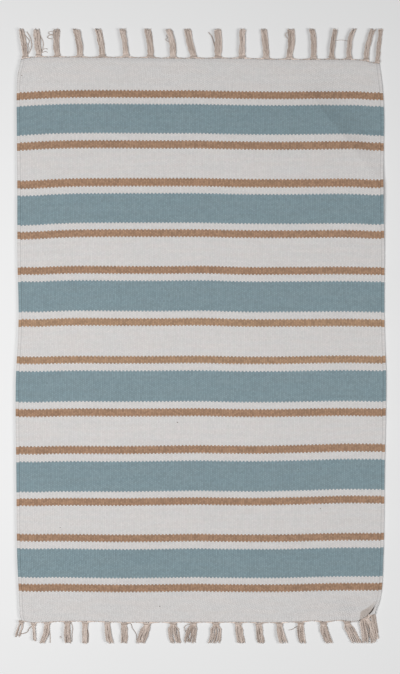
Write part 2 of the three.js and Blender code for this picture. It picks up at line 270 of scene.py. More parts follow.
paper = Finish("pale paper")
paper_noise = paper.noise(paper.place(), FLOOR_PATCHES, detail=2.0)
paper_colour = paper.shade(FLOOR_COLOUR, between(paper_noise, *FLOOR_TONES))
paper.surface({"Base Color": paper_colour, "Roughness": 0.9})
floor_mesh.materials.append(paper.material)
print("floor:", 2 * FLOOR_REACH, "m wide")

# %% [markdown]
# ## The cloth's outline
#
# A hand loom never gives a straight edge. Two short tables say how far the sides and the ends
# wander, in millimetres, and a smooth curve runs through their rows. The solid was made from
# the same numbers, so the dressed cloth fits it closely.

# %% Outline of the cloth
HALF_WIDTH = 300
TOP_END = 455.5
BOTTOM_END = -467
CLOTH_THICKNESS = 3
EDGE_ROUND = 0.9


def make_table(names, rows):
    """A column of numbers for each name."""
    return dict(zip(names.split(), np.array(rows, float).T))


SIDES = make_table("y left right", [
    (-467, 7, -17), (-458, 4, -16), (-448, 3.4, -13.6), (-436, 2.7, -7.8), (-420, 2.1, -4.4),
    (-400, 1.1, -2.4), (-370, -0.4, -1.4), (-320, -1.3, 0), (-216, -2.1, 1.1), (-112, -3.2, 3.2),
    (-60, -2.5, 3.5), (-7, 0.6, 1.5), (45, 1.8, 0.6), (124, -0.2, 0.8), (255, -0.5, -1.2),
    (360, -1.4, 0.1), (402, -1.5, -2.1), (422, -0.7, -4.4), (435, 1.3, -6), (446, 4.2, -7.2),
    (456, 5.8, -6.8),
])
ENDS = make_table("x top bottom", [
    (-296, -1.8, 3), (-288, -0.6, 0.4), (-275, 1.4, -1.6), (-230, 1.6, 0.3), (-180, 1, 0.5),
    (-120, 0.8, -1.1), (-40, -0.5, -0.8), (60, -0.6, -0.9), (110, -2, -1.6), (150, -2.4, -0.6),
    (185, -2.4, 1.3), (205, -2.2, 0), (229, -2.2, 2.4), (248, -2.6, 1), (258, -3.2, 3.4),
    (268, -4.4, 8.2), (284, -8, 12.4), (294, -8.8, 13.4),
])


def smooth_reading(table, key, column, places):
    """A column of a table read at many places, on a smooth curve through its rows."""
    keys, values = table[key], table[column]
    rows = np.arange(len(keys))
    before = np.maximum(rows - 1, 0)
    after = np.minimum(rows + 1, rows[-1])
    slopes = (values[after] - values[before]) / (keys[after] - keys[before])
    at = np.clip(places, keys[0], keys[-1])
    low = np.clip(np.searchsorted(keys, at) - 1, 0, rows[-1] - 1)
    span = keys[low + 1] - keys[low]
    t = (at - keys[low]) / span
    eased = values[low] + (values[low + 1] - values[low]) * t * t * (3 - 2 * t)
    lean = slopes[low] * (1 - t) - slopes[low + 1] * t
    return eased + span * t * (1 - t) * lean


def left_edge(y):
    return -HALF_WIDTH + smooth_reading(SIDES, "y", "left", y)


def right_edge(y):
    return HALF_WIDTH + smooth_reading(SIDES, "y", "right", y)


def bottom_edge(x):
    return BOTTOM_END + smooth_reading(ENDS, "x", "bottom", x)


def top_edge(x):
    return TOP_END + smooth_reading(ENDS, "x", "top", x)


print("cloth:", 2 * HALF_WIDTH, "by", TOP_END - BOTTOM_END, "mm")

# %% [markdown]
# ## Folds
#
# The rug was stored folded and has only just been laid out. A low crease crosses its top right
# corner, a faint fold runs down its whole length, and the bottom right corner stands in a
# pucker. Each is a soft ridge across a line, which falls away from its crest without a hard
# edge. Cloth simulation could make folds like these, but not these folds in these places, so
# they are given one by one. The solid has the same folds, but its crease and its pucker are lower.

# %% Folds
CREASE = {
    "from": (136.7, 450.1),
    "to": (293.7, 251.1),
    "height": 7,
    "crest": 1.2,
    "inner": {"flank": 85, "sharpness": 1.3},
    "corner": {"flank": 55, "sharpness": 3.2},
    "fade_in": (0.16, 0.46),
    "fade_out": 0.4,
    "fade_from": 0.7,
}
LONG_FOLD = {"x": 27.5, "height": 0.8, "flank": 24}
PUCKER = {
    "from": (273.2, -456.5),
    "to": (287.8, -432.6),
    "height": 7.5,
    "lip": 2.8,
    "slit": 1.3,
    "selvage_height": 2.6,
    "bow": 2,
    "steep_face": 14,
    "steep_face_end": 2.4,
    "flank": 46,
    "fade_out": (0.2, 1.15),
}


def hump(t):
    """1 at 0, and flat 0 from -1 and 1 outwards."""
    return np.where(np.abs(t) < 1, 0.5 + 0.5 * np.cos(np.pi * np.clip(t, -1, 1)), 0)


def smooth_step(t, low, high):
    share = np.clip((t - low) / (high - low), 0, 1)
    return share * share * (3 - 2 * share)


def place_by_line(line, x, y):
    """How far along a line a point lies, from 0 to 1 between its ends, and how far to its right."""
    x0, y0 = line["from"]
    dx = line["to"][0] - x0
    dy = line["to"][1] - y0
    length = math.hypot(dx, dy)
    along = ((x - x0) * dx + (y - y0) * dy) / length**2
    right = ((x - x0) * dy - (y - y0) * dx) / length
    return along, right


def crease_lift(x, y):
    along, right = place_by_line(CREASE, x, y)
    away = np.sqrt(right**2 + CREASE["crest"] ** 2) - CREASE["crest"]
    inner, corner = (
        np.clip(1 - away / side["flank"], 0, 1) ** side["sharpness"]
        for side in (CREASE["inner"], CREASE["corner"])
    )
    ridge = np.where(right < 0, corner, inner)
    fade_in = smooth_step(along, *CREASE["fade_in"])
    fade_out = 1 - CREASE["fade_out"] * smooth_step(along, CREASE["fade_from"], 1)
    return CREASE["height"] * ridge * fade_in * fade_out


def long_fold_lift(x):
    return LONG_FOLD["height"] * hump((x - LONG_FOLD["x"]) / LONG_FOLD["flank"])


def pucker_face(x, y):
    """How far a point lies to the right of the pucker's slit, which bows.

    Gives the share of the pucker that is left there and the width of its steep face too.
    """
    along, right = place_by_line(PUCKER, x, y)
    within = np.clip(along, 0, 1)
    right = right - 4 * PUCKER["bow"] * within * (1 - within)
    narrowing = (PUCKER["steep_face_end"] - PUCKER["steep_face"]) * np.clip(np.abs(along), 0, 1)
    share = 1 - smooth_step(along, *PUCKER["fade_out"])
    return right, share, PUCKER["steep_face"] + narrowing


def pucker_lift(x, y):
    right, share, face = pucker_face(x, y)
    slit = smooth_step(np.abs(right), 0, PUCKER["slit"])
    slope = np.clip(-right / face, 0, 1)
    beyond = np.maximum(-right - face, 0)
    bulge = PUCKER["lip"] + (PUCKER["height"] - PUCKER["lip"]) * slope
    bulge = bulge * hump(beyond / PUCKER["flank"])
    return share * slit * np.where(right > 0, PUCKER["selvage_height"], bulge)


def lift(x, y):
    """How far the cloth stands off the floor."""
    return crease_lift(x, y) + long_fold_lift(x) + pucker_lift(x, y)


print("highest fold:", PUCKER["height"], "mm")

# %% [markdown]
# ## Stripes
#
# Six groups of stripes cross the rug, a broad grey-blue one between two narrow tan ones, with
# off-white between them. One table says where each stretch of colour begins along the rug, in
# each group from the top one down, and how many wefts a stretch takes is the same in every
# group. The wefts aren't quite straight: they sag at the selvages and step at the old fold,
# and a second table gives that bow for each group.

# %% Stripes and their bow
WEFTS = {"tan": 8, "gap": 8, "blue": 32, "field": 33}
ORDER = ("tan", "gap", "blue", "gap", "tan", "field")
STRIPE_STARTS = {
    1: (306.7, 319.3, 331.2, 379.0, 389.5, 401.3),
    2: (161.7, 173.8, 184.6, 232.9, 244.5, 257.6),
    3: (16.8, 28.7, 40.7, 90.4, 101.9, 114.0),
    4: (-131, -118.6, -107, -56.6, -44.4, -32.7),
    5: (-275.9, -264, -253.3, -203.9, -191.3, -178.8),
    6: (-417.5, -405.6, -394.8, -347.8, -335.5, -323.9),
}
BOW = make_table("x 1 2 3 4 5 6", [
    (-293, -2.5, -3.3, -0.8, -0.8, -1.6, 0.2),
    (-267, -0.8, -2.3, -1.0, -1.0, -1.8, -0.3),
    (-241, 0.5, -0.7, 0.2, -0.3, -1.1, 0.2),
    (-202, 1.4, 0.7, 1.1, 0.3, -0.9, -0.3),
    (-136, 1.4, 1.2, 0.7, 0.0, -1.2, -1.1),
    (-71, 1.0, 1.2, 0.5, 0.2, -0.5, -0.7),
    (-5, 1.0, 1.2, 1.1, 0.6, 0.3, 0.3),
    (21, 0.3, 0.7, 0.7, 0.2, 0.0, -0.2),
    (47, -0.2, 0.0, -0.3, -0.5, -0.3, -0.5),
    (86, -0.8, -0.4, -1.0, -0.9, -0.7, -0.8),
    (139, -1.1, -0.6, -0.8, -0.6, 0.2, -0.6),
    (191, -0.9, -0.2, -0.5, 0.5, 1.6, 0.8),
    (230, -0.7, 0.1, -0.2, 0.9, 2.8, 1.6),
    (257, -0.8, -0.5, -0.5, 0.7, 2.9, 1.7),
    (283, -2.5, -1.8, -1.1, 0.2, 2.6, 1.6),
])

period = sum(WEFTS[stripe] for stripe in ORDER)
print("stripe groups:", len(STRIPE_STARTS), "wefts to a group:", period)

# %% [markdown]
# ## A grid that follows the weave
#
# The cloth's mesh is laid like the cloth itself. Its columns follow the ribs, four to a rib,
# so that every rib is really round, and its rows follow the wefts, with a row at every change
# of colour and close ones at the crease and the pucker. Each point also keeps two numbers: which
# rib it is on and which weft. The finish reads those two numbers, and so the pattern bends
# wherever the cloth bends.

# %% Columns across the ribs
RIBS = 203
SELVAGE_WIDTH = 4.6
STEPS_TO_A_RIB = 4
SELVAGE_STEPS = 6
FIRST_RIB = 0.5
LAST_RIB = RIBS - FIRST_RIB

inner_steps = STEPS_TO_A_RIB * (RIBS - 2)
ribs = np.concatenate([
    np.linspace(FIRST_RIB, 1, SELVAGE_STEPS + 1),
    np.linspace(1, RIBS - 1, inner_steps + 1)[1:-1],
    np.linspace(RIBS - 1, LAST_RIB, SELVAGE_STEPS + 1),
])


def share_across(rib):
    """How far across the cloth a rib's number lies, from 0 at the left edge to 1."""
    edge_share = SELVAGE_WIDTH / (2 * HALF_WIDTH)
    return np.interp(rib, [FIRST_RIB, 1, RIBS - 1, LAST_RIB], [0, edge_share, 1 - edge_share, 1])


def place_across(rib, y, inset=0):
    """Where a rib crosses the line of y, with both sides drawn in by inset."""
    left = left_edge(y) + inset
    right = right_edge(y) - inset
    return left + share_across(rib) * (right - left)


rib_pitch = (2 * HALF_WIDTH - 2 * SELVAGE_WIDTH) / (RIBS - 2)
print("ribs:", RIBS, "columns:", len(ribs), "rib pitch:", round(rib_pitch, 2), "mm")

# %% Rows along the wefts
FIRST_WEFT = 1.0
FIRST_STRIPE = WEFTS["field"] + 0.5
LAST_WEFT_BACK = 1.5
BOTTOM_STEPS = 24
PLAIN_STEPS = (1, 1, 2, 1, 1, 3)
STEPS_OF_GROUP = {1: (2, 2, 9, 2, 2, 8), 2: (1, 1, 2, 1, 1, 9)}


def guide_rows(inset):
    """The rows whose place is known: both ends and every change of colour.

    Gives each one's weft number, its line along Y and the steps up to the next one.
    """
    plain_x = (2 * share_across(ribs) - 1) * HALF_WIDTH
    wefts = [FIRST_WEFT]
    lines = [bottom_edge(place_across(ribs, BOTTOM_END)) + inset]
    steps = [BOTTOM_STEPS]
    weft = FIRST_STRIPE
    for group in reversed(STRIPE_STARTS):
        bow = smooth_reading(BOW, "x", str(group), plain_x)
        steps += STEPS_OF_GROUP.get(group, PLAIN_STEPS)
        for start, stripe in zip(STRIPE_STARTS[group], ORDER):
            wefts.append(weft)
            lines.append(start + bow)
            weft += WEFTS[stripe]
    wefts.append(weft - LAST_WEFT_BACK)
    lines.append(top_edge(place_across(ribs, TOP_END)) - inset)
    return wefts, lines, steps


def cloth_plan(inset):
    """Every point of the grid seen from above, with the outline drawn in by inset."""
    wefts, lines, steps = guide_rows(inset)
    rows = [lines[0]]
    numbers = [wefts[0]]
    for k, count in enumerate(steps):
        for step in range(1, count + 1):
            t = step / count
            rows.append(lines[k] * (1 - t) + lines[k + 1] * t)
            numbers.append(wefts[k] * (1 - t) + wefts[k + 1] * t)
    y = np.array(rows)
    return place_across(ribs, y, inset), y, np.array(numbers)


cloth_x, cloth_y, wefts = cloth_plan(EDGE_ROUND)
print("rows:", len(wefts), "wefts:", round(wefts[-1]))

# %% [markdown]
# ## The cloth's surfaces
#
# The upper and the lower side are two such grids, joined by a rounded rim. The underside is
# never looked at closely, so it takes every second row and every fourth column. Where it meets
# the rim, a fan of triangles joins the short edges to a long one, which leaves no gap.

# %% Heights
RIB_RELIEF = 0.21
UNDERSIDE_RELIEF = 0.35
SELVAGE_RISE = 0.4
COCKLES = [
    {"across": 0.031, "along": 0.013, "turn": 0.4, "height": 0.16},
    {"across": -0.017, "along": 0.041, "turn": 2.1, "height": 0.12},
    {"across": 0.052, "along": -0.029, "turn": 4.4, "height": 0.07},
]


def cockle(x, y):
    """The slight unevenness of cloth that lies loose on a floor."""
    rise = 0
    for row in COCKLES:
        wave = np.sin(row["across"] * x + row["along"] * y + row["turn"])
        rise = rise + row["height"] * (1 + wave) / 2
    return rise


def roundness(rib):
    """1 on the crest of a rib and 0 in the valleys beside it."""
    off_crest = 2 * np.abs(rib % 1 - 0.5)
    return np.sqrt(np.clip(1 - off_crest**2, 0, 1))


def selvage_rise(x, y):
    from_side = np.minimum(x - left_edge(y), right_edge(y) - x)
    return SELVAGE_RISE * hump(2 * from_side / SELVAGE_WIDTH - 1)


def base_height(x, y):
    return lift(x, y) + cockle(x, y)


def upper_height(x, y, rib):
    valley = RIB_RELIEF * (1 - roundness(rib))
    return base_height(x, y) + CLOTH_THICKNESS + selvage_rise(x, y) - valley


def lower_height(x, y, rib):
    return base_height(x, y) + UNDERSIDE_RELIEF * (1 - roundness(rib))


# %% Points and the faces between them
def with_numbers(x, y, z, rib, weft):
    """Points in rows, each with the rib and the weft that it is on."""
    return np.stack(np.broadcast_arrays(x, y, z, rib, weft), axis=-1).reshape(-1, 5)


def round_the_edge(rows, columns):
    """The grid's outermost points in order, anticlockwise from the bottom left."""
    bottom = [(0, i) for i in range(columns - 1)]
    right = [(j, columns - 1) for j in range(rows - 1)]
    top = [(rows - 1, i) for i in range(columns - 1, 0, -1)]
    left = [(j, 0) for j in range(rows - 1, 0, -1)]
    return bottom + right + top + left


def grid_faces(rows, columns, start, upwards):
    j, i = np.meshgrid(np.arange(rows - 1), np.arange(columns - 1), indexing="ij")
    a = (start + j * columns + i).ravel()
    quads = np.stack([a, a + 1, a + columns + 1, a + columns], axis=1)
    return (quads if upwards else quads[:, ::-1]).tolist()


def band_faces(first, second):
    """Quads between two rings of points, with the second ring below the first."""
    pairs = zip(first, second, first[1:] + first[:1], second[1:] + second[:1])
    return [(a, b, d, c) for a, b, c, d in pairs]


def coarse_band_faces(fine, coarse, partners):
    """Joins a ring to one with fewer points, whose partners in the first ring are given."""
    faces = []
    for k, here in enumerate(coarse):
        after = coarse[(k + 1) % len(coarse)]
        last = partners[k + 1] if k + 1 < len(coarse) else len(fine)
        middle = (partners[k] + last) // 2
        for n in range(partners[k], last):
            faces.append((fine[n], here if n < middle else after, fine[(n + 1) % len(fine)]))
        faces.append((fine[middle], here, after))
    return faces


# %% Upper side and rim
RIM_ANGLES = (45, 90, 135)

rows, columns = cloth_x.shape
edge = round_the_edge(rows, columns)
edge_rows, edge_columns = np.array(edge).T
upper = upper_height(cloth_x, cloth_y, ribs)
points = [with_numbers(cloth_x, cloth_y, upper, ribs, wefts[:, None])]
faces = grid_faces(rows, columns, 0, True)
ring = (edge_rows * columns + edge_columns).tolist()
upper_count = rows * columns
count = upper_count

for angle in RIM_ANGLES:
    inset = EDGE_ROUND * (1 - math.sin(math.radians(angle)))
    x, y, _ = cloth_plan(inset)
    x = x[edge_rows, edge_columns]
    y = y[edge_rows, edge_columns]
    z = base_height(x, y) + CLOTH_THICKNESS / 2 * (1 + math.cos(math.radians(angle)))
    points.append(with_numbers(x, y, z, ribs[edge_columns], wefts[edge_rows]))
    next_ring = list(range(count, count + len(edge)))
    faces += band_faces(ring, next_ring)
    ring = next_ring
    count += len(edge)
print("points of the upper side:", upper_count, "and of the rim:", count - upper_count)

# %% Underside
ROW_SKIP = 2
COLUMN_SKIP = 4

under_x = cloth_x[::ROW_SKIP, ::COLUMN_SKIP]
under_y = cloth_y[::ROW_SKIP, ::COLUMN_SKIP]
under_ribs = ribs[::COLUMN_SKIP]
under = lower_height(under_x, under_y, under_ribs)
points.append(with_numbers(under_x, under_y, under, under_ribs, wefts[::ROW_SKIP, None]))
faces += grid_faces(len(under), len(under_ribs), count, False)
under_edge = round_the_edge(len(under), len(under_ribs))
under_ring = [count + j * len(under_ribs) + i for j, i in under_edge]
partners = [edge.index((j * ROW_SKIP, i * COLUMN_SKIP)) for j, i in under_edge]
faces += coarse_band_faces(ring, under_ring, partners)
print("faces of the cloth:", len(faces))

# %% [markdown]
# ## From numbers to an object
#
# A mesh can hold a number at each of its points, called an attribute, that its finish can
# read. One function makes every mesh in this lesson from points in millimetres, faces and such
# numbers, and lets it ride on the rug's one body. Besides its rib and its weft, a point of the
# cloth holds whether it is on the upper side, and how strongly painted shade darkens it on the
# pucker's steep face.


# %% Make a piece
def make_piece(name, points, faces, numbers, node):
    """A shaded object that stands for one of the solids."""
    mesh = bpy.data.meshes.new(name)
    mesh.from_pydata((np.asarray(points) * MM).tolist(), [], faces)
    for label, values in numbers.items():
        attribute = mesh.attributes.new(label, "FLOAT", "POINT")
        attribute.data.foreach_set("value", np.asarray(values, np.float32))
    mesh.polygons.foreach_set("use_smooth", np.ones(len(mesh.polygons), bool))
    mesh.update()
    piece = bpy.data.objects.new(name, mesh)
    scene.collection.objects.link(piece)
    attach(piece, "root")
    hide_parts(node)
    return piece


# %% The cloth
# Painted shade: a warm, darker colour on the upper part of the pucker's steep face.
FACE_SHADE_FROM = (0, 0.1)
FACE_SHADE_TO = (0.9, 1.1)


def dust_at(x, y):
    """How strongly painted shade darkens the upper side of the pucker's steep face."""
    right, share, face = pucker_face(x, y)
    up_face = -right / face
    return share * smooth_step(up_face, *FACE_SHADE_FROM) * (1 - smooth_step(up_face, *FACE_SHADE_TO))


x, y, z, rib, weft = np.concatenate(points).T
is_upper = np.arange(len(x)) < upper_count
numbers = {"rib": rib, "weft": weft, "upper": is_upper, "dust": is_upper * dust_at(x, y)}
places = np.stack([x, y, z], axis=1)
cloth = make_piece("kilim_cloth", places, faces, numbers, "cloth")
cloth.data.calc_loop_triangles()
print("triangles of the cloth:", len(cloth.data.loop_triangles))

# %% [markdown]
# ## The weave
#
# On each rib only every second weft shows, and on the next rib the ones between, like bricks in
# a wall. So each bead is two wefts long, and where the colour changes the edge is toothed, two
# ribs to a tooth. The finish works out which bead a point lies on and which weft made it, and
# takes the colour from that weft. Painting straight stripes would be simpler, but then the
# teeth that tell a weaver's work from a printer's would be missing. The two tan stripes next to
# the middle were woven from another lot of yarn, lighter and more golden than the rest.

# %% Which bead a point lies on
cotton = Finish("woven cotton")
rib = cotton.reading("rib")
weft = cotton.reading("weft")

rib_number = math.floor(rib)
odd_rib = rib_number % 2
bead_place = (weft + odd_rib) / 2
bead_row = math.floor(bead_place)
bead_weft = bead_row * 2 + 1 - odd_rib

off_crest = abs(rib % 1 - 0.5) * 2
along_bead = bead_place % 1
off_middle = abs(along_bead - 0.5) * 2

# %% Stripe colours
OFF_WHITE = colour(206, 204, 203)
GREY_BLUE = colour(127, 147, 154)
TAN = colour(161, 130, 106)
GOLDEN_TAN = colour(167, 137, 111)
# groove: how much painted shade darkens the grooves of a stripe's weave.
UNDYED = {"tint": OFF_WHITE, "golden": 0, "variety": 0.035, "streaks": 0.15, "groove": 0.1}
LOOKS = {
    "tan": {"tint": TAN, "golden": 1, "variety": 0.17, "streaks": 0.22, "groove": 0.3},
    "gap": UNDYED,
    "blue": {"tint": GREY_BLUE, "golden": 0, "variety": 0.08, "streaks": 0.26, "groove": 0.23},
    "field": UNDYED,
}


def grey(value):
    return (value, value, value, 1.0)


in_period = (bead_weft - FIRST_STRIPE) % period / period


def over_stripes(column, convert=grey):
    """One column of the looks, laid over the stripes of every group."""
    starts = np.cumsum([0] + [WEFTS[stripe] for stripe in ORDER[:-1]]) / period
    stops = [(start, convert(LOOKS[stripe][column])) for start, stripe in zip(starts, ORDER)]
    return cotton.steps(in_period, stops)


half_field = WEFTS["field"] / 2
middle_weft = FIRST_STRIPE + period * len(STRIPE_STARTS) / 2 - half_field
near_middle = abs(bead_weft - middle_weft) < half_field + WEFTS["tan"]
golden = near_middle * over_stripes("golden")
stripe_colour = cotton.mix(golden, over_stripes("tint", tuple), GOLDEN_TAN)

# %% [markdown]
# ## Uneven yarn
#
# Hand-spun cotton takes dye unevenly, so each weft is a little lighter or darker and warmer or
# colder than the next and changes slowly along its length, and each bead catches the light in
# its own way. The grooves between ribs and between beads are darkened with painted shade. A
# few dark specks of husk are left in the yarn. Dyed wefts are more uneven than white ones, so
# how much they vary, and how dark their painted groove shade is, stands in the table of looks.

# %% Colour of the yarn
STREAKS = {"along": 0.03, "next_weft": 1.37, "detail": 3.0}
WARM_STRETCHES = {"along": 0.05, "next_weft": 0.21, "detail": 2.0}
WARM_SHARE = (0.35, 0.65)
WARMTH = (1.02, 0.998, 0.987)
PATCH_SCALE = 5.0
PATCH_TONES = (0.976, 1.024)
WEAVE_GROOVE_SHADE = {"rib": (0.55, 1.0), "bead": (0.6, 1.0), "bead_share": 0.8}
FACE_SHADE_COLOUR = colour(174, 161, 151)
FACE_SHADE_COVER = 0.75


def weft_noise(row):
    """A soft noise with its own scale along a weft and from one weft to the next."""
    at = cotton.point(rib_number * row["along"], bead_weft * row["next_weft"])
    return cotton.noise(at, 1.0, row["detail"])


streaks = (weft_noise(STREAKS) - 0.5) * over_stripes("streaks") + 1
bead_chance = cotton.chance(cotton.point(rib_number, bead_row)) * 2 - 1
beads = bead_chance * over_stripes("variety") + 1
patches = between(cotton.noise(cotton.place(), PATCH_SCALE), *PATCH_TONES)
# Painted shade: the grooves between ribs and between beads are darkened, and tone carries it.
rib_groove_shade = cotton.ease(off_crest, *WEAVE_GROOVE_SHADE["rib"])
bead_groove_shade = cotton.ease(off_middle, *WEAVE_GROOVE_SHADE["bead"]) * WEAVE_GROOVE_SHADE["bead_share"]
painted_groove_shade = 1 - cotton.maths("MAXIMUM", rib_groove_shade, bead_groove_shade) * over_stripes("groove")
tone = streaks * beads * patches * painted_groove_shade

warm_share = cotton.ease(weft_noise(WARM_STRETCHES), *WARM_SHARE)
warmed = cotton.vectors("MULTIPLY", {0: stripe_colour, 1: WARMTH})
yarn_colour = cotton.shade(cotton.mix(warm_share, stripe_colour, warmed), tone)
# Painted shade on the pucker's steep face, in a warm darker colour.
dust = cotton.reading("dust") * FACE_SHADE_COVER
yarn_colour = cotton.mix(dust, yarn_colour, cotton.shade(FACE_SHADE_COLOUR, tone))

# %% [markdown]
# ## Shade in the folds
#
# Painted shade lies in a faint band on the corner side of the crease, with a darker line along
# its crest; painted shadow fills the slit of the pucker; and a thin line of painted shade parts
# each selvage from the cloth. These lines are finer than the mesh, so the finish works out for
# itself how far each point lies from them. A mark is strong inside its edges. Each edge is a
# pair: where the mark is not there yet, and where it has its whole strength.

# %% Fold lines
# Painted shade along the crease: a faint band on its corner side and a darker line at its crest.
CREASE_SHADE_MARKS = [
    {"across": [(2.5, -2.5), (-62, -14)], "along": [(0.16, 0.48), (1.0, 0.6)], "strength": 0.05},
    {"across": [(2.5, 0.5), (-5.5, -0.5)], "along": [(0.33, 0.43), (0.56, 0.46)], "strength": 0.07},
]
# The pucker's slit gets a painted shadow, nearly black.
SLIT_SHADOW = {"across": [(1.5, 0.5)], "along": [(0.7, 0.42), (-0.25, 0.0)], "strength": 1}
SLIT_SHADOW_COLOUR = colour(78, 64, 57)
# A thin line of painted shade in the groove beside each selvage.
SELVAGE_GROOVE_SHADE = {"rib": 1, "half_width": 0.2, "strength": 0.15}

x_mm = cotton.coordinate("X") / MM
y_mm = cotton.coordinate("Y") / MM


def mark(look, along, across):
    """How strongly a mark shows at a place along its line and across it."""
    shown = look["strength"]
    for value, edges in ((across, look["across"]), (along, look["along"])):
        for outside, inside in edges:
            shown = cotton.ease(value, outside, inside) * shown
    return shown


# Painted shade along the crease.
along, right = place_by_line(CREASE, x_mm, y_mm)
painted_crease_shade = sum(mark(row, along, right) for row in CREASE_SHADE_MARKS)
# Painted shade along the groove beside each selvage.
rib_from_side = RIBS / 2 - abs(rib - RIBS / 2)
off_groove = abs(rib_from_side - SELVAGE_GROOVE_SHADE["rib"])
in_groove = cotton.ease(off_groove, SELVAGE_GROOVE_SHADE["half_width"], 0.0)
painted_selvage_shade = in_groove * SELVAGE_GROOVE_SHADE["strength"]
yarn_colour = cotton.shade(yarn_colour, 1 - (painted_crease_shade + painted_selvage_shade))

along, right = place_by_line(PUCKER, x_mm, y_mm)
within = cotton.maths("MINIMUM", cotton.maths("MAXIMUM", along, 0.0), 1.0)
from_slit = abs(right - within * (1 - within) * (4 * PUCKER["bow"]))
# Painted shadow in the slit, on the upper side only.
slit = mark(SLIT_SHADOW, along, from_slit) * cotton.reading("upper")
yarn_colour = cotton.mix(slit, yarn_colour, SLIT_SHADOW_COLOUR)

# %% Specks
HUSK = colour(120, 112, 104)
SPECKS = [
    (-67, -442, 1.3, HUSK),
    (-230, -313, 1.2, HUSK),
    (196, -282, 1.2, colour(125, 115, 106)),
    (160, -218, 1.1, colour(95, 100, 100)),
    (-38, -141, 1.4, HUSK),
    (-293, 427, 1.2, colour(130, 110, 100)),
    (190, 288, 1.5, colour(168, 132, 116)),
]
SPECK_CORE = 0.3

for x, y, size, tint in SPECKS:
    centre = (x * MM, y * MM, CLOTH_THICKNESS * MM)
    distance = cotton.vectors("DISTANCE", {0: cotton.place(), 1: centre}, "Value")
    cover = cotton.ease(distance, size * MM, size * MM * SPECK_CORE)
    yarn_colour = cotton.mix(cover, yarn_colour, tint)

# %% Relief of the beads
BEAD_DEPTH = 0.00035
BEAD_ROUND = 2.5
RIB_ROUND = 3
PAIR_DIP = {"round": 3, "deep": 0.35}
FIBRES = {"across": 0.5, "along": 6, "scale": 1.6, "deep": 0.18}
COTTON_ROUGHNESS = (0.82, 0.97)

bead_round = 1 - off_middle**BEAD_ROUND
rib_round = 1 - off_crest**RIB_ROUND
off_pair = abs(along_bead * 2 % 1 - 0.5) * 2
pair_round = 1 - off_pair ** PAIR_DIP["round"] * PAIR_DIP["deep"]
fibre_place = cotton.point(weft * FIBRES["across"] + rib, weft * FIBRES["along"])
fibres = cotton.noise(fibre_place, FIBRES["scale"])
bead_height = fibres * FIBRES["deep"] + bead_round * rib_round * pair_round

cotton_surface = {
    "Base Color": yarn_colour,
    "Roughness": between(fibres, *COTTON_ROUGHNESS),
    "Specular IOR Level": 0.2,
    "Sheen Weight": 0.12,
    "Sheen Roughness": 0.6,
}
cotton.surface(cotton_surface, bead_height, BEAD_DEPTH)
cloth.data.materials.append(cotton.material)
print("nodes in the weave:", len(cotton.nodes))

# %% [markdown]
# ## The warp ends
#
# The same warps run through the whole rug and leave it at both ends, so every rib gives one
# yarn at the top and one at the bottom. Each tassel gathers the warps from its own stretch of
# the edge. The tables say where each tassel starts, where its middle and its tip lie, and how
# wide it is there. The one in the bottom right corner is the fullest: it also has the extra
# yarns of the selvage there, parts into two locks and is cut at a slope.

# %% Tassels
SELVAGE_BUNDLE = np.linspace(0.6, 0.9, 4)
SELVAGE_WARP = 0.9
FRINGES = {
    "top": {"out": 1, "edge": top_edge, "cloth_end": TOP_END, "fringe_end": 503.8},
    "bottom": {"out": -1, "edge": bottom_edge, "cloth_end": BOTTOM_END, "fringe_end": -503.2},
}
COLUMNS = ("root", "mid", "tip", "width")
TASSELS = {
    "top": [
        (-288, -290, -294, 9.5), (-265.5, -267.5, -269, 10.5), (-235, -237, -235.5, 10.5),
        (-198, -199.5, -204, 10.5), (-161.5, -163.5, -168, 10), (-122.5, -124.7, -128, 9),
        (-82.3, -83.3, -86.5, 10.5), (-45.8, -47, -52.5, 10), (-12.2, -17.8, -21.2, 11),
        (28.5, 28.5, 28, 12), (67.5, 67.7, 68, 10), (107, 105.5, 103.8, 10.5),
        (145, 148.2, 148, 11), (184.5, 185, 183, 10), (214.4, 216, 219.5, 7.5),
        (242.8, 243.8, 250.5, 7.5), (270.5, 274, 281, 8.5), (289.3, 292, 294, 7.5),
    ],
    "bottom": [
        (-294, -297, -300, 9), (-274, -273, -272.3, 5), (-251.8, -254.3, -258.8, 9.5),
        (-218.3, -218.7, -217, 10.5), (-189.5, -190, -190, 9), (-153, -151.5, -149, 10.5),
        (-125.6, -125.2, -125.2, 11.5), (-88, -93.8, -98, 15.5), (-45.2, -44, -40.8, 18),
        (-12.3, -15.6, -17.3, 18), (24.5, 24.7, 21.8, 19), (61.3, 63.8, 66, 13),
        (95.2, 96.5, 99.3, 11.5), (128.9, 131, 135, 12), (163.4, 164.2, 166.6, 12),
        (200.7, 203.5, 209, 12.5), (240, 246.8, 255, 16.8), (269, 274.6, 277.8, 23.5),
    ],
}
PLAIN = {"short": 0, "fork": 0, "slope": 0, "extra": 0}
SPECIAL = {
    "bottom_tassel_01": {"short": 10},
    "bottom_tassel_02": {"short": 4},
    "bottom_tassel_18": {"short": 0.5, "fork": 4.5, "slope": 7, "extra": 9, "knot_width": 14},
}


def warp_places(end):
    """Where the warps leave the cloth: one from every rib, and a bundle from each selvage."""
    inner = np.arange(1, RIBS - 1) + 0.5
    return place_across(np.concatenate([SELVAGE_BUNDLE, inner, RIBS - SELVAGE_BUNDLE[::-1]]), end)


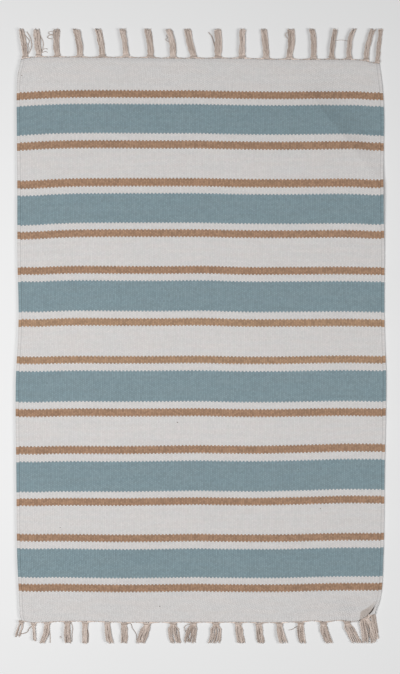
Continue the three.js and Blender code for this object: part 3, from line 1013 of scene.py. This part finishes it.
def tassels_of(side, fringe):
    """The tassels of one end, each with its reach and the warps that it gathers."""
    places = warp_places(fringe["cloth_end"])
    roots = [row[0] for row in TASSELS[side]]
    borders = [-np.inf] + [(a + b) / 2 for a, b in zip(roots, roots[1:])] + [np.inf]
    made = []
    for k, row in enumerate(TASSELS[side]):
        name = f"{side}_tassel_{k + 1:02d}"
        tassel = {"name": name, **fringe, **PLAIN, **SPECIAL.get(name, {})}
        tassel.update(zip(COLUMNS, row))
        own = places[(places >= borders[k]) & (places < borders[k + 1])]
        own = np.append(own, own[-1] - SELVAGE_WARP * np.arange(1, tassel["extra"] + 1))
        tassel["warps"] = np.sort(own)
        tassel["edge_y"] = float(fringe["edge"](tassel["root"]))
        tassel["reach"] = abs(fringe["fringe_end"] - tassel["edge_y"]) - tassel["short"]
        made.append(tassel)
    return made


tassels = [tassel for side, fringe in FRINGES.items() for tassel in tassels_of(side, fringe)]
print("tassels:", len(tassels), "warps:", [len(row["warps"]) for row in tassels])

# %% [markdown]
# ## A plied yarn
#
# A warp is two threads twisted round each other. A round tube would look like wire, so the
# section here is waisted and turns as it goes along, which leaves the twist in the outline and
# in the shadows. The tube is a ring of eight points, repeated along a smooth route.

# %% Yarn
RING = 8
YARN_SPACING = 0.95
STEPS_TO_A_POINT = 8
TWIST_LENGTH = 5.2
WAIST = 0.68


def lengths_along(points):
    """How far along a line each of its points lies."""
    return np.concatenate([[0], np.cumsum(np.linalg.norm(np.diff(points, axis=0), axis=1))])


def smooth_route(points):
    """Even steps along a smooth curve through the points, and how far along each step lies."""
    padded = np.concatenate([[2 * points[0] - points[1]], points, [2 * points[-1] - points[-2]]])
    t = np.linspace(0, 1, STEPS_TO_A_POINT, endpoint=False)[:, None]
    parts = []
    for a, b, c, d in zip(padded, padded[1:], padded[2:], padded[3:]):
        bend = 2 * a - 5 * b + 4 * c - d
        turn = 3 * b - a - 3 * c + d
        parts.append(0.5 * (2 * b + (c - a) * t + bend * t**2 + turn * t**3))
    curve = np.concatenate([*parts, points[-1:]])
    along = lengths_along(curve)
    at = np.linspace(0, along[-1], max(4, round(along[-1] / YARN_SPACING) + 1))
    return np.stack([np.interp(at, along, curve[:, k]) for k in range(3)], axis=1), at


def yarn(route, radius, up=(0, 0, 1), turn=0.0, seed=0.0, loose=1.0):
    """The points, faces and numbers of a plied yarn along a route.

    radius and loose are one number, or one for each point of the route. loose goes from 0,
    pulled tight, to 1.
    """
    line, along = route
    count = len(line)
    radius = radius * np.ones(count)
    loose = loose * np.ones(count)
    line = line.copy()
    line[:, 2] = np.maximum(line[:, 2], radius)
    heading = np.gradient(line, axis=0)
    heading /= np.linalg.norm(heading, axis=1)[:, None]
    side = np.cross(heading, np.asarray(up, float))
    side /= np.maximum(np.linalg.norm(side, axis=1), 1e-9)[:, None]
    over = np.cross(side, heading)
    angle = np.linspace(0, 2 * np.pi, RING, endpoint=False)[None, :]
    ply = np.abs(np.cos(angle - turn - 2 * np.pi * along[:, None] / TWIST_LENGTH))
    size = radius[:, None] * (WAIST + (1 - WAIST) * ply)
    ring = np.cos(angle)[..., None] * side[:, None] + np.sin(angle)[..., None] * over[:, None]
    points = (line[:, None] + ring * size[..., None]).reshape(-1, 3)
    a = np.arange((count - 1) * RING)
    b = np.where(a % RING == RING - 1, a - RING, a) + 1
    faces = np.stack([a, b, b + RING, a + RING], axis=1).tolist()
    faces += [range(RING - 1, -1, -1), range((count - 1) * RING, count * RING)]
    numbers = {"ply": ply.ravel(), "yarn": np.full(ply.size, seed), "loose": np.repeat(loose, RING)}
    return points, faces, numbers


def join(parts):
    """Puts several meshes into one."""
    points = []
    faces = []
    numbers = {}
    start = 0
    for part_points, part_faces, part_numbers in parts:
        points.append(part_points)
        faces += [tuple(start + i for i in face) for face in part_faces]
        for label, values in part_numbers.items():
            numbers.setdefault(label, []).append(values)
        start += len(part_points)
    return np.concatenate(points), faces, {k: np.concatenate(v) for k, v in numbers.items()}


# %% [markdown]
# ## From the cloth to the knot
#
# A warp comes out of the cloth, turns along its edge and runs to the knot. The warps from
# further off lie against the edge, and the nearer ones lie beside and on top of them, so the
# bundle grows towards the knot. A warp that comes out right behind the knot goes straight in,
# and in the knot they lie in two layers.

# %% Route of a warp
TIGHT_RADIUS = 0.6
LOOSE_RADIUS = 0.92
LANE = {"out": 0.6, "step_out": 1.2, "low": 0.8, "step_up": 1.3}
SWEEP = {"inside": 2, "outside": 0.3, "shortest": 3.4, "nearest": 2.2, "spacing": 4, "shift": 0.45}
KNOT = {"start": 1.3, "middle": 2.6, "end": 5.4, "low": 1.6, "high": 2.9, "width": 2.6}


def knot_half(tassel):
    """Half the width of a tassel's knot, which grows with the number of its warps."""
    return tassel.get("knot_width", KNOT["width"] * math.sqrt(len(tassel["warps"]))) / 2


def swept_points(tassel, place, rank):
    """A warp's way along the edge, from inside the cloth to the knot."""
    edge, out = tassel["edge"], tassel["out"]
    level = base_height(place, edge(place)) + CLOTH_THICKNESS / 2
    starts = edge(place) + out * np.array([-SWEEP["inside"], SWEEP["outside"]])
    start = np.stack(np.broadcast_arrays(place, starts, level), axis=-1)
    away = place - tassel["root"]
    if abs(away) <= SWEEP["shortest"]:
        return start
    reach = abs(away) - SWEEP["nearest"]
    stops = max(1, round(reach / SWEEP["spacing"]))
    stop = np.arange(stops)
    distance = SWEEP["nearest"] + reach * (1 - (stop + SWEEP["shift"]) / stops)
    x = tassel["root"] + np.copysign(distance, away)
    lane_out = LANE["out"] + LANE["step_out"] * (rank // 2) * (stop + 1) / stops
    lane_up = LANE["low"] + LANE["step_up"] * (rank % 2)
    sweep = np.stack(np.broadcast_arrays(x, edge(x) + out * lane_out, lane_up), axis=-1)
    return np.concatenate([start, sweep])


# %% [markdown]
# ## Locks
#
# The strands of a tassel don't hang singly. Two or three cling together in a lock and wind
# loosely round one another, and the locks wander across each other, with dark gaps between. So
# a tassel is laid out in two steps: first the way of each lock, then the strands that wind
# round it. The locks lie in two layers, and an upper lock sinks between the lower ones as far
# as they leave it room. A cloud of separate hairs would be quicker to make, but it would look
# like fur.

# %% Route of a lock
STRANDS_TO_A_LOCK = 2.4
LOCK_WIDTH = 3.2
WANDER = ((0.7, 4.0), (0.35, 10.0))
LEAST_SWAY = 0.4
WANDER_GROWS = 1.6
WINDING = {"shortest": 24, "longest": 70, "wide": 0.95, "high": 0.5}
FULL_TURN = 2 * math.pi


def locks_of(tassel, rng):
    """The locks of a tassel from left to right, each with its slot from -1 to 1."""
    count = max(2, round(len(tassel["warps"]) / STRANDS_TO_A_LOCK))
    return [
        {
            "slot": 2 * k / (count - 1) - 1,
            "layer": (k + rng.integers(2)) % 2,
            "turns": rng.uniform(0, FULL_TURN, len(WANDER)),
            "sway": rng.uniform(LEAST_SWAY, 1, len(WANDER)),
            "spin": rng.uniform(0, FULL_TURN),
            "winding": rng.uniform(WINDING["shortest"], WINDING["longest"]),
            "tone": rng.random(),
            "spacing": (tassel["width"] - LOCK_WIDTH) / (count - 1),
        }
        for k in range(count)
    ]


def lock_place(tassel, lock, s):
    """How far a tassel's middle line lies from its root, and a lock from that middle line.

    s is the share of the tassel's length.
    """
    mid = tassel["mid"] - tassel["root"]
    tip = tassel["tip"] - tassel["root"]
    centre = 2 * s * (1 - s) * (2 * mid - 0.5 * tip) + s * s * tip
    wave = sum(
        size * sway * np.sin(speed * s + turn)
        for (size, speed), sway, turn in zip(WANDER, lock["sway"], lock["turns"])
    )
    half = (tassel["width"] - LOCK_WIDTH) / 2
    fork = math.copysign(tassel["fork"] / 2, lock["slot"])
    return centre, lock["slot"] * half + fork * s + wave * np.minimum(1, WANDER_GROWS * s)


# %% Route of a strand
SETTLE = 7
STRAND_STEPS = np.linspace(0.14, 1, 24)
CRINKLE = {"size": 0.28, "turns": 42}
UNEVEN_TRIM = 2.4
TUFT_ROOM = 1.6
SLOPE_GAIN = 1.4
LAYER_RISE = 0.55


def from_root(tassel, across, out, height):
    """Points at places across from a tassel's root, out from the cloth's edge and up."""
    x = tassel["root"] + across
    y = tassel["edge_y"] + tassel["out"] * out
    return np.stack(np.broadcast_arrays(x, y, height), axis=-1)


def strand_points(tassel, lock, share, knot_slot, rng):
    """A strand's way from the knot to its cut end.

    share is its turn round the lock, and knot_slot its place in the knot: from -1 to 1 across,
    and its layer.
    """
    cut_back = tassel["slope"] * max(SLOPE_GAIN * lock["slot"] - (SLOPE_GAIN - 1), 0)
    end = tassel["reach"] - TUFT_ROOM - cut_back - UNEVEN_TRIM * rng.random()
    crinkle_turn = rng.uniform(0, FULL_TURN)
    knot_x = knot_slot[0] * (knot_half(tassel) - TIGHT_RADIUS)
    knot_level = KNOT["high" if knot_slot[1] else "low"]
    squeezed = math.sqrt(max(LOCK_WIDTH**2 - lock["spacing"] ** 2, 0))
    lock_level = LOOSE_RADIUS + WINDING["high"] + LAYER_RISE * squeezed * lock["layer"]
    distance = KNOT["end"] + (end - KNOT["end"]) * STRAND_STEPS
    loose = smooth_step(distance, KNOT["end"], KNOT["end"] + SETTLE)
    centre, lock_x = lock_place(tassel, lock, STRAND_STEPS)
    spin = lock["spin"] + FULL_TURN * (share + distance / lock["winding"])
    crinkle = CRINKLE["size"] * np.sin(CRINKLE["turns"] * STRAND_STEPS + crinkle_turn)
    own_x = WINDING["wide"] * np.cos(spin) + crinkle
    across = centre + knot_x * (1 - loose) + (lock_x + own_x) * loose
    level = lock_level + WINDING["high"] * np.sin(spin)
    hanging = from_root(tassel, across, distance, knot_level + (level - knot_level) * loose)
    in_knot = from_root(tassel, knot_x, np.array([KNOT["middle"], KNOT["end"]]), knot_level)
    return np.concatenate([in_knot, hanging])


# %% [markdown]
# ## The knot
#
# The bundle is tied in an overhand knot close to the cloth. From above such a knot shows as a
# few turns of yarn that cross the bundle a little aslant, so that is what is built: turns of
# the same yarn on a flattened ring round the bundle.

# %% Knot
KNOT_TURNS = {"count": 3, "pitch": 1.25, "slant": 0.9, "points": 15, "shift": 0.5, "uneven": 0.05}
KNOT_YARN = 1.1
KNOT_ROOM = 0.6
PRESSED_IN = 0.05


def knot_turns(tassel, rng):
    """The turns of yarn round a bundle."""
    half_width = knot_half(tassel) + KNOT_ROOM
    low = TIGHT_RADIUS + PRESSED_IN
    high = KNOT["high"] + 2 * TIGHT_RADIUS - PRESSED_IN
    slant = KNOT_TURNS["slant"] * rng.choice([-1, 1])
    turns = []
    for k in range(KNOT_TURNS["count"]):
        distance = KNOT["start"] + KNOT_TURNS["pitch"] * k
        angles = np.linspace(0, FULL_TURN, KNOT_TURNS["points"]) + KNOT_TURNS["shift"] * k
        width = half_width * (1 + KNOT_TURNS["uneven"] * rng.normal())
        out = distance + slant * np.cos(angles)
        height = (low + high) / 2 + (high - low) / 2 * np.sin(angles)
        route = smooth_route(from_root(tassel, width * np.cos(angles), out, height))
        radius = TIGHT_RADIUS * KNOT_YARN
        turns.append(yarn(route, radius, up=(0, 1, 0), turn=k, seed=rng.random()))
    return turns


# %% [markdown]
# ## Loose yarns
#
# Here and there a yarn has slipped out of its tassel and lies beside it in a loop or a curl. Each
# row is one of them: the tassel that it comes from, how thick it is, and the places that it
# passes through, in millimetres across from the tassel's root and out from the cloth's edge.

# %% Loose yarns
LOOSE_YARNS = [
    ("top_tassel_01", 0.75, (1, 4.5, 8.6, 11, 10.2, 7.7, 2.8), (3, 6.3, 13, 21, 29, 37, 44)),
    ("top_tassel_01", 0.6, (1, 5, 6.5, 5.5, 7.5, 4, -1), (4, 10, 17, 23, 29, 34, 40)),
    ("top_tassel_02", 0.75, (1, 4.9, 7.7, 6.5, 0.8), (2.5, 7.6, 19, 27.2, 39.3)),
    ("top_tassel_02", 0.5, (4.5, 8.2, 11.5, 14.7), (12, 13, 14.2, 13)),
    ("top_tassel_02", 0.5, (3.5, 6.5, 11, 14.7), (6, 8, 9.3, 8)),
    ("top_tassel_03", 0.6, (-3, -7.6, -12, -14.2, -12, -7), (38, 41.5, 41.8, 39.5, 37.6, 37)),
    ("top_tassel_03", 0.6, (-3, -7.6, -12.5, -15.8, -13.5, -8), (33, 35.8, 36.2, 33, 30.6, 30)),
    ("top_tassel_08", 0.7, (1, 4.3, 4.8, 3.8, 0), (7, 13, 19, 25, 31)),
    ("top_tassel_08", 0.6, (-3, -8, -11.8, -8.5, -11, -7), (26, 28, 31, 34, 37.5, 39)),
    ("top_tassel_10", 0.75, (-1.5, -2.6, -6, -8.2, -10.8, -15.7), (5, 11.2, 21, 29.2, 36.6, 43.1)),
    ("top_tassel_13", 0.75, (1, -3.5, -6.4, -5, -1), (32, 35.5, 39.5, 43.5, 44)),
    ("top_tassel_15", 0.45, (2, 6.3, 15, 24.3, 27), (29.5, 30.8, 32, 30.8, 30)),
    ("bottom_tassel_02", 0.7, (-1, -7, -11, -22.5), (4, 10, 16.4, 19.6)),
    ("bottom_tassel_03", 0.7, (2, 4.4, 5.2, 5.2), (8, 16, 24, 34.5)),
    ("bottom_tassel_04", 0.65, (1, 3.5, 6.4, 8.6, 7.8, 7.6, 7.2), (3.8, 1.9, 3.5, 11.5, 18.3, 26, 34)),
    ("bottom_tassel_04", 0.8, (-4.5, -2.5, -0.8, -3), (9, 11, 9.4, 8)),
    ("bottom_tassel_04", 0.75, (-11.8, -11, -10.8), (25, 26.5, 28.3)),
    ("bottom_tassel_05", 0.7, (1.5, 4, 5.5, 5.4, 4.9), (8, 14, 20, 28, 35.5)),
    ("bottom_tassel_07", 0.5, (3, 8, 11.7, 14, 18, 20.5, 20.5), (4.5, 2.3, 3.6, 10.5, 16.2, 21.9, 30)),
    ("bottom_tassel_10", 0.65, (-4, -10, -14.2, -13, -9), (5, 5, 9, 15.5, 20)),
    ("bottom_tassel_15", 0.5, (-2, -6.7, -13.2, -19.4), (7, 9, 13, 14.5)),
    ("bottom_tassel_18", 0.9, (9.0, 10.2, 11.4, 13.2, 16.0), (-4, 2.5, 8, 17, 30)),
    ("bottom_tassel_18", 0.95, (10.8, 12.0, 13.2, 14.8, 17.2), (-4, 2.2, 8, 17, 31)),
    ("bottom_tassel_18", 0.95, (12.6, 13.8, 14.8, 16.2, 18.6), (-4, 2, 8, 17, 30)),
    ("bottom_tassel_18", 0.9, (14.5, 15.6, 16.6, 18.0, 20.2), (-4, 1.5, 7.5, 17, 29)),
    ("bottom_tassel_18", 0.85, (16.2, 17.4, 18.0, 19.6, 21.6), (-3, 1.5, 7, 16, 27)),
]
OFF_THE_FLOOR = 0.05
FIRST_SEED = 0.3
SEED_STEP = 0.37
SEED_TURN = 6


def loose_yarns(tassel):
    made = []
    for k, (name, radius, across, out) in enumerate(LOOSE_YARNS):
        if name == tassel["name"]:
            seed = (FIRST_SEED + SEED_STEP * k) % 1
            points = from_root(tassel, np.array(across), np.array(out), radius + OFF_THE_FLOOR)
            made.append(yarn(smooth_route(points), radius, turn=seed * SEED_TURN, seed=seed))
    return made


# %% Cut ends
TUFT = {"threads": 3, "length": 2.6, "spread": 0.9, "uneven": 0.4, "radii": (0.35, 0.36)}
TUFT_MIDDLE = {"along": 0.5, "across": 0.3}
TUFT_LENGTHS = (0.6, 1)
TUFT_DROOP = (0.8, 1.1)
TUFT_LOWEST = 0.15
TUFT_PLY = 0.8
TRIANGLE = ((0, 1), (0.87, -0.5), (-0.87, -0.5))
TUFT_FACES = [(0, 2, 1), (0, 1, 4, 3), (1, 2, 5, 4), (2, 0, 3, 5), (3, 4, 6), (4, 5, 6), (5, 3, 6)]


def cut_end(line, rng):
    """The few threads into which a yarn opens where it was cut."""
    heading = line[-1] - line[-3]
    heading /= np.linalg.norm(heading)
    across = np.array([-heading[1], heading[0], 0])
    up = np.array([0, 0, 1])
    threads = []
    for k in range(TUFT["threads"]):
        lean = TUFT["spread"] * (k - 1 + TUFT["uneven"] * rng.normal())
        length = TUFT["length"] * rng.uniform(*TUFT_LENGTHS)
        tip = line[-1] + heading * length + across * lean
        tip[2] = max(tip[2] * rng.uniform(*TUFT_DROOP), TUFT_LOWEST)
        middle = line[-1] + heading * length * TUFT_MIDDLE["along"]
        middle = middle + across * lean * TUFT_MIDDLE["across"]
        points = [
            centre + radius * (a * across + b * up)
            for centre, radius in zip((line[-1] - heading, middle), TUFT["radii"])
            for a, b in TRIANGLE
        ]
        # A cut thread counts as tight here, so it gets the painted highlight of a tight yarn.
        numbers = {"ply": TUFT_PLY, "yarn": rng.random(), "loose": 0.0}
        numbers = {label: np.full(len(points) + 1, value) for label, value in numbers.items()}
        threads.append((np.array([*points, tip]), TUFT_FACES, numbers))
    return threads


# %% [markdown]
# ## Every tassel
#
# Each tassel is one mesh of all its yarns, with the chances in it drawn from its own number, so
# that it comes out the same every time. A warp is thin where it is pulled tight and fuller once
# it hangs loose.

# %% Build the tassels
TONE = {"lock": 0.3, "own": 0.7}
UNEVEN_RADIUS = (0.92, 1.08)
END_RADIUS = 0.6


def warp(tassel, k, locks, rng):
    """A warp from inside the cloth to the threads at its cut end."""
    warps = tassel["warps"]
    place = float(warps[k])
    rank = int(np.sum(warps < place) if place < tassel["root"] else np.sum(warps > place))
    across = k / max(len(warps) - 1, 1)
    lock = locks[min(int(across * len(locks)), len(locks) - 1)]
    swept = swept_points(tassel, place, rank)
    strand = strand_points(tassel, lock, across * len(locks) % 1, (2 * across - 1, k % 2), rng)
    line, along = smooth_route(np.concatenate([swept, strand]))
    swept_length = lengths_along(np.concatenate([swept, strand[:1]]))[-1]
    seed = TONE["lock"] * lock["tone"] + TONE["own"] * rng.random()
    loose = smooth_step(along, swept_length, swept_length + SETTLE)
    radius = TIGHT_RADIUS + (LOOSE_RADIUS - TIGHT_RADIUS) * loose
    radius[-1] *= END_RADIUS
    radius *= rng.uniform(*UNEVEN_RADIUS)
    hanging = yarn((line, along), radius, turn=seed * SEED_TURN, seed=seed, loose=loose)
    return [hanging, *cut_end(line, rng)]


def tassel_parts(tassel, number):
    rng = np.random.default_rng(number)
    parts = knot_turns(tassel, rng)
    locks = locks_of(tassel, rng)
    for k in range(len(tassel["warps"])):
        parts += warp(tassel, k, locks, rng)
    return parts + loose_yarns(tassel)


fringe = []
for number, tassel in enumerate(tassels):
    points, faces, numbers = join(tassel_parts(tassel, number))
    name = tassel["name"].replace("tassel", "warp_ends")
    fringe.append(make_piece(name, points, faces, numbers, tassel["name"]))
faces_made = sum(len(piece.data.polygons) for piece in fringe)
print("pieces of fringe:", len(fringe), "faces:", faces_made)

# %% [markdown]
# ## The warp yarn's finish
#
# The warps are unbleached cotton, warmer and darker than the wefts. Each yarn has its own tone,
# and fine fibres run along it. Three painted shades go over that: painted shade darkens the
# groove between the two plies and a yarn towards the floor, and a painted highlight makes a
# tight one lighter than a loose one.

# %% Unbleached yarn
UNBLEACHED = colour(215, 203, 195)
DARK_YARN = colour(165, 149, 138)
BLOTCHES = {"scale": 90.0, "strength": 0.35}
PLY_SHADE = (0.49, 1.09)
PLY_GROOVE = (0.0, 0.7)
LOW_SHADE = (0.76, 1.07)
LOW_HEIGHT = (0.0004, 0.0026)
# Painted highlight: a tight yarn is lighter.
TIGHT_HIGHLIGHT = (1.36, 1.0)
YARN_FIBRES = {"scale": 2600.0, "depth": 0.00012}
YARN_ROUGHNESS = (0.78, 0.98)

plied = Finish("unbleached warp yarn")
own_colour = plied.mix(plied.reading("yarn"), UNBLEACHED, DARK_YARN)
blotches = plied.noise(plied.place(), BLOTCHES["scale"]) * BLOTCHES["strength"]
blotched = plied.mix(blotches, own_colour, DARK_YARN)
# Painted shade in the ply groove and low down near the floor, and a painted highlight on tight yarn.
ply_shade = between(plied.ease(plied.reading("ply"), *PLY_GROOVE), *PLY_SHADE)
low_shade = between(plied.ease(plied.coordinate("Z"), *LOW_HEIGHT), *LOW_SHADE)
tight_highlight = between(plied.reading("loose"), *TIGHT_HIGHLIGHT)
fibre_noise = plied.noise(plied.place(), YARN_FIBRES["scale"])

yarn_surface = {
    "Base Color": plied.shade(blotched, ply_shade * low_shade * tight_highlight),
    "Roughness": between(fibre_noise, *YARN_ROUGHNESS),
    "Specular IOR Level": 0.2,
    "Sheen Weight": 0.15,
}
plied.surface(yarn_surface, fibre_noise, YARN_FIBRES["depth"])
for piece in fringe:
    piece.data.materials.append(plied.material)
print("nodes in the yarn:", len(plied.nodes))
